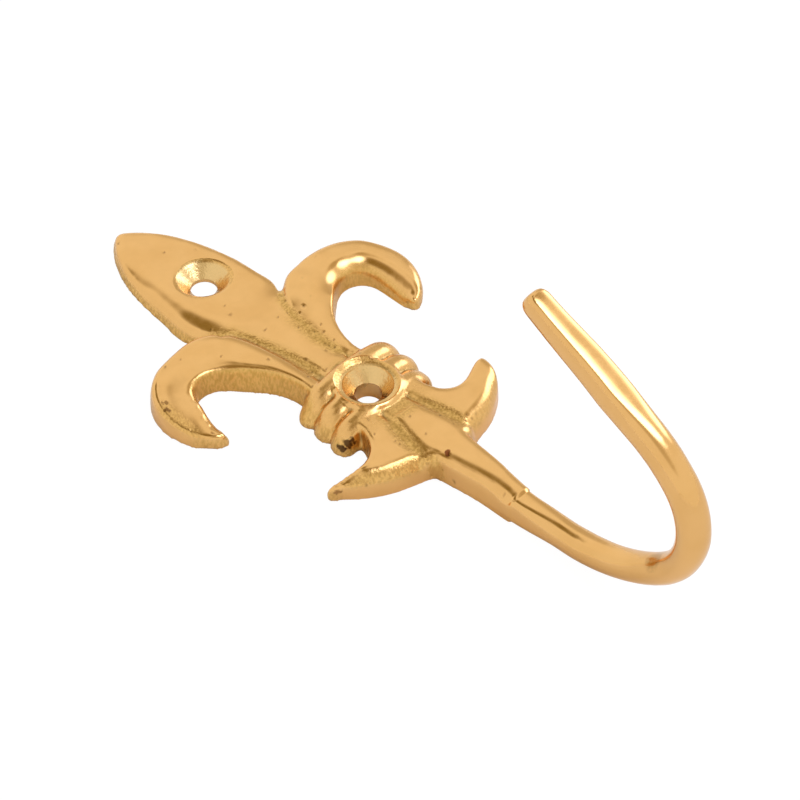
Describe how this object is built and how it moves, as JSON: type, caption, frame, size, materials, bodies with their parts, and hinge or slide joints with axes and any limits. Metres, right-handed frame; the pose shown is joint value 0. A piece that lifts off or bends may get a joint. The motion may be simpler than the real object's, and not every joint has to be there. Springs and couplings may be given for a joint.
{
  "type": "curtain tieback hook",
  "caption": "Cast brass curtain tieback hook: fleur-de-lis wall plate with countersunk screw holes and a rod bent forward into a J-shaped hook.",
  "frame": {"origin": "midway between the screw holes, on the flat back", "axes": "+Z out of the wall, +Y to the petal's tip, +X across"},
  "size_m": [0.044, 0.1028, 0.0397],
  "materials": {
    "brass": "polished"
  },
  "bodies": {
    "root": {"tieback_hook": "brass"}
  },
  "joints": []
}
